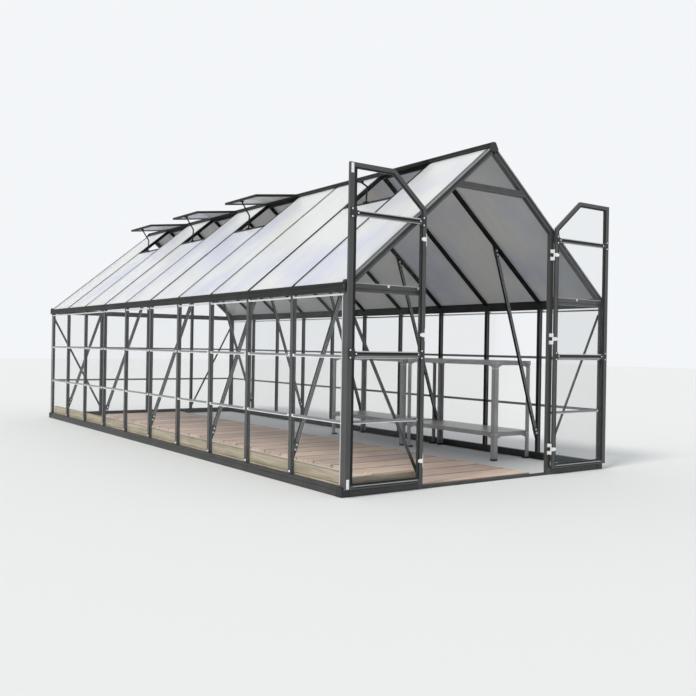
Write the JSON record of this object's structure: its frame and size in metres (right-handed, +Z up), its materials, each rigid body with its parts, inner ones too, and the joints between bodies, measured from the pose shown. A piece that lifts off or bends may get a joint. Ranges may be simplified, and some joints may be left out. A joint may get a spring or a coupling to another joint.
{
  "type": "greenhouse",
  "caption": "Gabled garden greenhouse: dark aluminium bars, clear sheet walls, milky twin-wall roof with tilted vents, double doors folded open, staging and a timber walkway.",
  "frame": {"origin": "centre of the footprint at ground level, halfway between the foremost point of the open doors and the rear gutter caps", "axes": "+Z up, +Y from the doors to the back gable, +X to the right seen from the doors"},
  "size_m": [2.44, 6.104, 2.304],
  "materials": {
    "frame_paint": "satin",
    "base_steel": "satin",
    "black_plastic": "matte",
    "joint_strip": "satin",
    "galvanised": "satin",
    "clear_sheet": "clear gloss",
    "twin_wall": "milky",
    "bench_steel": "satin",
    "timber": "bare"
  },
  "bodies": {
    "house": {"back_gable_posts": "frame_paint", "base_corner_caps": "black_plastic", "base_strips": "base_steel", "bed_boards": "timber", "bench_legs": "bench_steel", "bench_lower_shelves": "bench_steel", "bench_tops": "bench_steel", "corner_posts": "frame_paint", "door_post_hinges": "galvanised", "door_posts": "frame_paint", "door_threshold": "base_steel", "gable_braces": "frame_paint", "gable_panes": "clear_sheet", "gable_rafters": "frame_paint", "gable_transoms": "frame_paint", "gable_wall_panes": "clear_sheet", "gable_wall_rails": "joint_strip", "gutter_end_caps": "black_plastic", "gutters": "frame_paint", "knee_struts": "frame_paint", "left_roof_sheets": "twin_wall", "ridge_beam": "frame_paint", "ridge_end_caps": "black_plastic", "right_roof_sheets": "twin_wall", "roof_bars": "frame_paint", "side_posts": "frame_paint", "side_wall_panes": "clear_sheet", "side_wall_rails": "joint_strip", "tie_beams": "frame_paint", "vent_panes": "twin_wall", "vent_props": "frame_paint", "vent_sashes": "frame_paint", "vent_sills": "frame_paint", "walkway_deck": "timber"},
    "left_door": {"left_door_bolts": "galvanised", "left_door_brackets": "black_plastic", "left_door_crossbars": "frame_paint", "left_door_frame": "frame_paint", "left_door_hinges": "galvanised", "left_door_panes": "clear_sheet"},
    "right_door": {"right_door_brackets": "black_plastic", "right_door_crossbars": "frame_paint", "right_door_frame": "frame_paint", "right_door_hinges": "galvanised", "right_door_panes": "clear_sheet"}
  },
  "joints": [
    {"name": "left_door_hinge", "type": "hinge", "parent": "house", "child": "left_door", "pos_m": [-0.608, -3.035, 0.98], "axis": [0, 0, 1], "range_deg": [0, 180]},
    {"name": "right_door_hinge", "type": "hinge", "parent": "house", "child": "right_door", "pos_m": [0.608, -3.035, 0.98], "axis": [0, 0, -1], "range_deg": [0, 180]}
  ]
}
